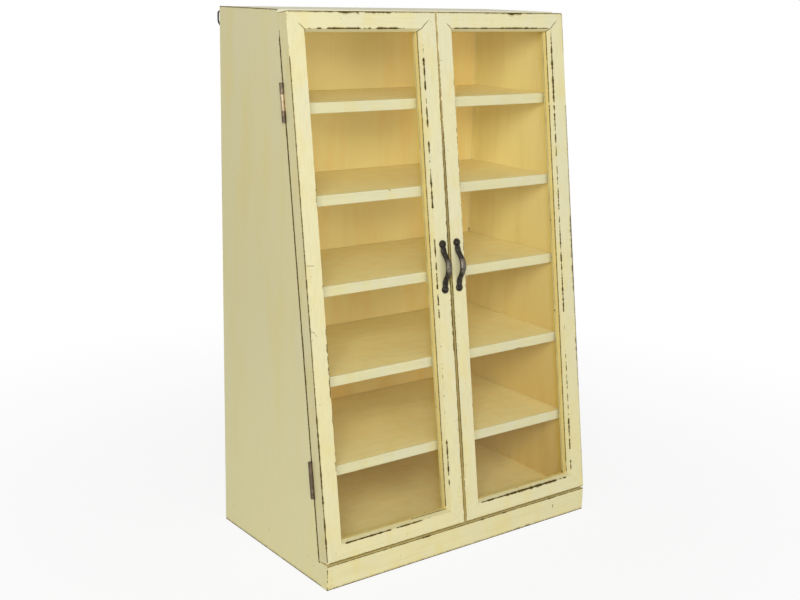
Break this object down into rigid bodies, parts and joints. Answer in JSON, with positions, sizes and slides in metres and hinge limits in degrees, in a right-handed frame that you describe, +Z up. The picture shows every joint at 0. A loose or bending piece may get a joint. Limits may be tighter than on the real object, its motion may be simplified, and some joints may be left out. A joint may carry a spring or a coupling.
{
  "type": "glazed display case",
  "caption": "Free-standing painted wooden display case: leaning front with glazed doors on butt hinges, shelves behind, bow pulls, plinth and D-ring hangers.",
  "frame": {"origin": "middle of the whole object's plan, hangers and hinge barrels included, on the surface it stands on", "axes": "+X to the object's right seen from the front, +Y to its back, +Z up"},
  "size_m": [0.3682, 0.2144, 0.568],
  "materials": {
    "painted_wood": "pale cream-yellow brushed paint on wood, rubbed through to dark brown along its edges",
    "painted_panel": "pale cream-yellow brushed paint on thin plywood",
    "clear_glass": "clear polished float glass",
    "hinge_brass": "tarnished brass, brown with brighter rubbed knuckles",
    "pull_bronze": "dark antique bronze, satin, rubbed brighter on the crown of the grip",
    "steel": "dull darkened steel"
  },
  "bodies": {
    "case": {"back_panel": "painted_panel", "back_panel_pins": "steel", "carcass_nails": "steel", "case_hinge_screws": "hinge_brass", "floor_panel": "painted_wood", "hanger_plate_left": "steel", "hanger_plate_right": "steel", "hanger_screws": "steel", "hinge_left_bottom_case_leaf": "hinge_brass", "hinge_left_bottom_pin": "hinge_brass", "hinge_left_top_case_leaf": "hinge_brass", "hinge_left_top_pin": "hinge_brass", "hinge_right_bottom_case_leaf": "hinge_brass", "hinge_right_bottom_pin": "hinge_brass", "hinge_right_top_case_leaf": "hinge_brass", "hinge_right_top_pin": "hinge_brass", "plinth_front": "painted_wood", "plinth_nails": "steel", "shelf_1": "painted_wood", "shelf_2": "painted_wood", "shelf_3": "painted_wood", "shelf_4": "painted_wood", "shelf_5": "painted_wood", "side_panel_left": "painted_wood", "side_panel_right": "painted_wood", "top_panel": "painted_wood"},
    "door_left": {"door_left_bead_bottom": "painted_wood", "door_left_bead_hinge": "painted_wood", "door_left_bead_meeting": "painted_wood", "door_left_bead_pins": "steel", "door_left_bead_top": "painted_wood", "door_left_bottom_rail": "painted_wood", "door_left_glass": "clear_glass", "door_left_hinge_screws": "hinge_brass", "door_left_hinge_stile": "painted_wood", "door_left_meeting_stile": "painted_wood", "door_left_pull": "pull_bronze", "door_left_pull_screws": "pull_bronze", "door_left_top_rail": "painted_wood", "hinge_left_bottom_door_leaf": "hinge_brass", "hinge_left_top_door_leaf": "hinge_brass"},
    "door_right": {"door_right_bead_bottom": "painted_wood", "door_right_bead_hinge": "painted_wood", "door_right_bead_meeting": "painted_wood", "door_right_bead_pins": "steel", "door_right_bead_top": "painted_wood", "door_right_bottom_rail": "painted_wood", "door_right_glass": "clear_glass", "door_right_hinge_screws": "hinge_brass", "door_right_hinge_stile": "painted_wood", "door_right_meeting_stile": "painted_wood", "door_right_pull": "pull_bronze", "door_right_pull_screws": "pull_bronze", "door_right_top_rail": "painted_wood", "hinge_right_bottom_door_leaf": "hinge_brass", "hinge_right_top_door_leaf": "hinge_brass"},
    "hanger_ring_left": {"hanger_ring_left": "steel"},
    "hanger_ring_right": {"hanger_ring_right": "steel"}
  },
  "joints": [
    {"name": "door_left_hinge", "type": "hinge", "parent": "case", "child": "door_left", "pos_m": [-0.1821, -0.09201, 0.02677], "axis": [0, -0.1456, -0.9893], "range_deg": [0, 180]},
    {"name": "door_right_hinge", "type": "hinge", "parent": "case", "child": "door_right", "pos_m": [0.1821, -0.09201, 0.02677], "axis": [0, 0.1456, 0.9893], "range_deg": [0, 180]},
    {"name": "hanger_left_swing", "type": "hinge", "parent": "case", "child": "hanger_ring_left", "pos_m": [-0.1715, 0.10485, 0.5626], "axis": [1, 0, 0], "range_deg": [0, 175]},
    {"name": "hanger_right_swing", "type": "hinge", "parent": "case", "child": "hanger_ring_right", "pos_m": [0.1715, 0.10485, 0.5626], "axis": [1, 0, 0], "range_deg": [0, 175]}
  ]
}
